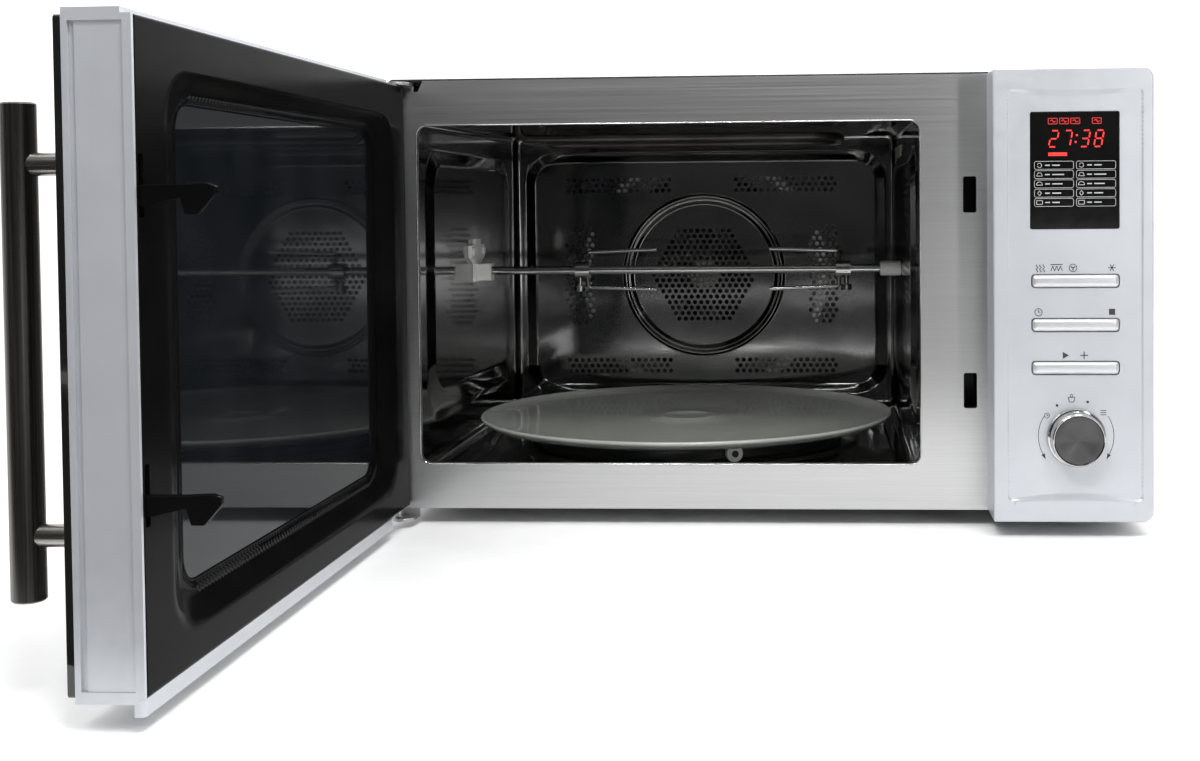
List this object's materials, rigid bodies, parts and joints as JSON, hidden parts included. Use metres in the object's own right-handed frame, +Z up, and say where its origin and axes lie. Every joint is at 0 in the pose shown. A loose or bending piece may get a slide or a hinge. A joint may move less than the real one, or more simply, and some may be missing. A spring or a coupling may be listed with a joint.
{
  "type": "microwave oven",
  "caption": "Free-standing microwave oven with grill, hot-air fan and spit; side-hung glass door, twin-hook latch, turntable, knob and key bars.",
  "frame": {"origin": "the middle of the front left foot's sole, on the surface the feet stand on", "axes": "+X to the user's right as seen from the front, +Y to the back, +Z up"},
  "size_m": [0.6057, 0.9095, 0.3235],
  "materials": {
    "casing_paint": "fine silver-grey powder coat",
    "zinc_steel": "zinc-plated sheet steel",
    "front_steel": "stainless steel brushed lengthwise",
    "cavity_steel": "bright annealed stainless steel",
    "heater_sheath": "oxidised steel sheath",
    "mica": "pale mica sheet",
    "silver_plastic": "satin silver lacquer on moulded plastic",
    "black_glass": "black printed safety glass",
    "black_gloss": "gloss black moulding",
    "window_glass": "tinted inner window glass",
    "screen_black": "black enamelled pierced steel",
    "handle_steel": "dark brushed steel tube",
    "black_plastic": "black moulded plastic",
    "white_plastic": "off-white heat-proof plastic",
    "tray_glass": "clear pressed heat-proof glass",
    "spit_steel": "bright steel",
    "knob_metal": "spun aluminium cap with a polished rim",
    "bar_silver": "satin silver caps",
    "display_glass": "black display window",
    "rubber": "black rubber",
    "copper_core": "varnished laminations and copper windings",
    "magnetron_metal": "aluminium fins in a plated yoke",
    "board_green": "printed circuit board",
    "lamp_glass": "clear lamp bulb"
  },
  "bodies": {
    "cabinet": {"back_panel": "zinc_steel", "base_plate": "zinc_steel", "button_switches": "black_plastic", "casing_screws": "zinc_steel", "cavity_back": "cavity_steel", "cavity_lamp": "lamp_glass", "cavity_shell": "cavity_steel", "control_board": "board_green", "control_panel": "silver_plastic", "convection_heater": "heater_sheath", "convection_housing": "zinc_steel", "convection_motor": "zinc_steel", "cooling_fan_motor": "zinc_steel", "cooling_fan_shroud": "black_plastic", "cord_gland": "black_plastic", "display_module": "black_plastic", "display_window": "display_glass", "front_frame": "front_steel", "grill_heater": "heater_sheath", "hv_capacitor": "magnetron_metal", "hv_transformer": "copper_core", "interlock_bracket": "black_plastic", "interlock_switches": "black_plastic", "knob_encoder": "black_plastic", "lamp_housing": "zinc_steel", "lower_hinge_bracket": "zinc_steel", "magnetron": "magnetron_metal", "outer_casing": "casing_paint", "rubber_feet": "rubber", "spit_motor": "zinc_steel", "spit_support": "white_plastic", "turntable_motor": "zinc_steel", "upper_hinge_bracket": "zinc_steel", "waveguide": "zinc_steel", "waveguide_cover": "mica"},
    "door": {"door_frame": "silver_plastic", "door_inner_panel": "black_gloss", "door_screen": "screen_black", "door_window_glass": "window_glass", "door_glass": "black_glass", "handle_bar": "handle_steel", "handle_posts": "handle_steel", "handle_screws": "zinc_steel", "latch_spring": "spit_steel"},
    "latch": {"latch_hooks": "black_plastic"},
    "turntable": {"turntable_coupler": "black_plastic", "glass_plate": "tray_glass"},
    "ring": {"roller_ring": "black_plastic"},
    "roller_1": {"roller_1": "white_plastic"},
    "roller_2": {"roller_2": "white_plastic"},
    "roller_3": {"roller_3": "white_plastic"},
    "spit": {"spit_rod": "spit_steel", "spit_forks": "spit_steel", "fork_screws": "spit_steel"},
    "hot_air_fan": {"convection_fan": "zinc_steel"},
    "cooling_fan": {"cooling_fan": "black_plastic"},
    "knob": {"selector_knob": "knob_metal"},
    "mode_bar": {"mode_bar": "bar_silver"},
    "clock_bar": {"clock_bar": "bar_silver"},
    "start_bar": {"start_bar": "bar_silver"}
  },
  "joints": [
    {"name": "door_hinge", "type": "hinge", "parent": "cabinet", "child": "door", "pos_m": [-0.037, -0.084, 0.167], "axis": [0, 0, 1], "range_deg": [-5, 90]},
    {"name": "latch_slide", "type": "slide", "parent": "door", "child": "latch", "axis": [0, 0, 1], "range_m": [0, 0.004], "stiffness_N_per_m": 300, "springref_m": -0.004, "deforming": ["latch_spring"]},
    {"name": "turntable_spin", "type": "hinge", "parent": "cabinet", "child": "turntable", "pos_m": [0.1541, 0.1157, 0.05], "axis": [0, 0, 1], "continuous": true},
    {"name": "ring_spin", "type": "hinge", "parent": "cabinet", "child": "ring", "pos_m": [0.1541, 0.1157, 0.041], "axis": [0, 0, 1], "continuous": true},
    {"name": "roller_1_spin", "type": "hinge", "parent": "ring", "child": "roller_1", "pos_m": [0.20142, -0.0102, 0.0412], "axis": [0.3518, -0.9361, 0], "continuous": true},
    {"name": "roller_2_spin", "type": "hinge", "parent": "ring", "child": "roller_2", "pos_m": [0.23947, 0.21963, 0.0412], "axis": [0.6347, 0.7727, 0], "continuous": true},
    {"name": "roller_3_spin", "type": "hinge", "parent": "ring", "child": "roller_3", "pos_m": [0.02141, 0.13767, 0.0412], "axis": [-0.9866, 0.1633, 0], "continuous": true},
    {"name": "spit_spin", "type": "hinge", "parent": "cabinet", "child": "spit", "pos_m": [0.154, 0.1157, 0.176], "axis": [1, 0, 0], "continuous": true},
    {"name": "hot_air_fan_spin", "type": "hinge", "parent": "cabinet", "child": "hot_air_fan", "pos_m": [0.154, 0.327, 0.162], "axis": [0, 1, 0], "continuous": true},
    {"name": "cooling_fan_spin", "type": "hinge", "parent": "cabinet", "child": "cooling_fan", "pos_m": [0.425, 0.371, 0.155], "axis": [0, 1, 0], "continuous": true},
    {"name": "knob_spin", "type": "hinge", "parent": "cabinet", "child": "knob", "pos_m": [0.4425, -0.115, 0.0695], "axis": [0, -1, 0], "continuous": true},
    {"name": "mode_bar_rock", "type": "hinge", "parent": "cabinet", "child": "mode_bar", "pos_m": [0.44225, -0.1061, 0.1769], "axis": [0, 0, 1], "range_deg": [-1.5, 1.5], "stiffness_Nm_per_rad": 0.6},
    {"name": "clock_bar_rock", "type": "hinge", "parent": "cabinet", "child": "clock_bar", "pos_m": [0.44225, -0.1061, 0.1468], "axis": [0, 0, 1], "range_deg": [-1.5, 1.5], "stiffness_Nm_per_rad": 0.6},
    {"name": "start_bar_push", "type": "slide", "parent": "cabinet", "child": "start_bar", "axis": [0, 1, 0], "range_m": [0, 0.0007], "stiffness_N_per_m": 500, "springref_m": -0.0005}
  ],
  "couplings": [
    {"joint": "ring_spin", "follows": "turntable_spin", "ratio": 0.5},
    {"joint": "roller_1_spin", "follows": "turntable_spin", "ratio": -10.346},
    {"joint": "roller_2_spin", "follows": "turntable_spin", "ratio": -10.346},
    {"joint": "roller_3_spin", "follows": "turntable_spin", "ratio": -10.346}
  ]
}
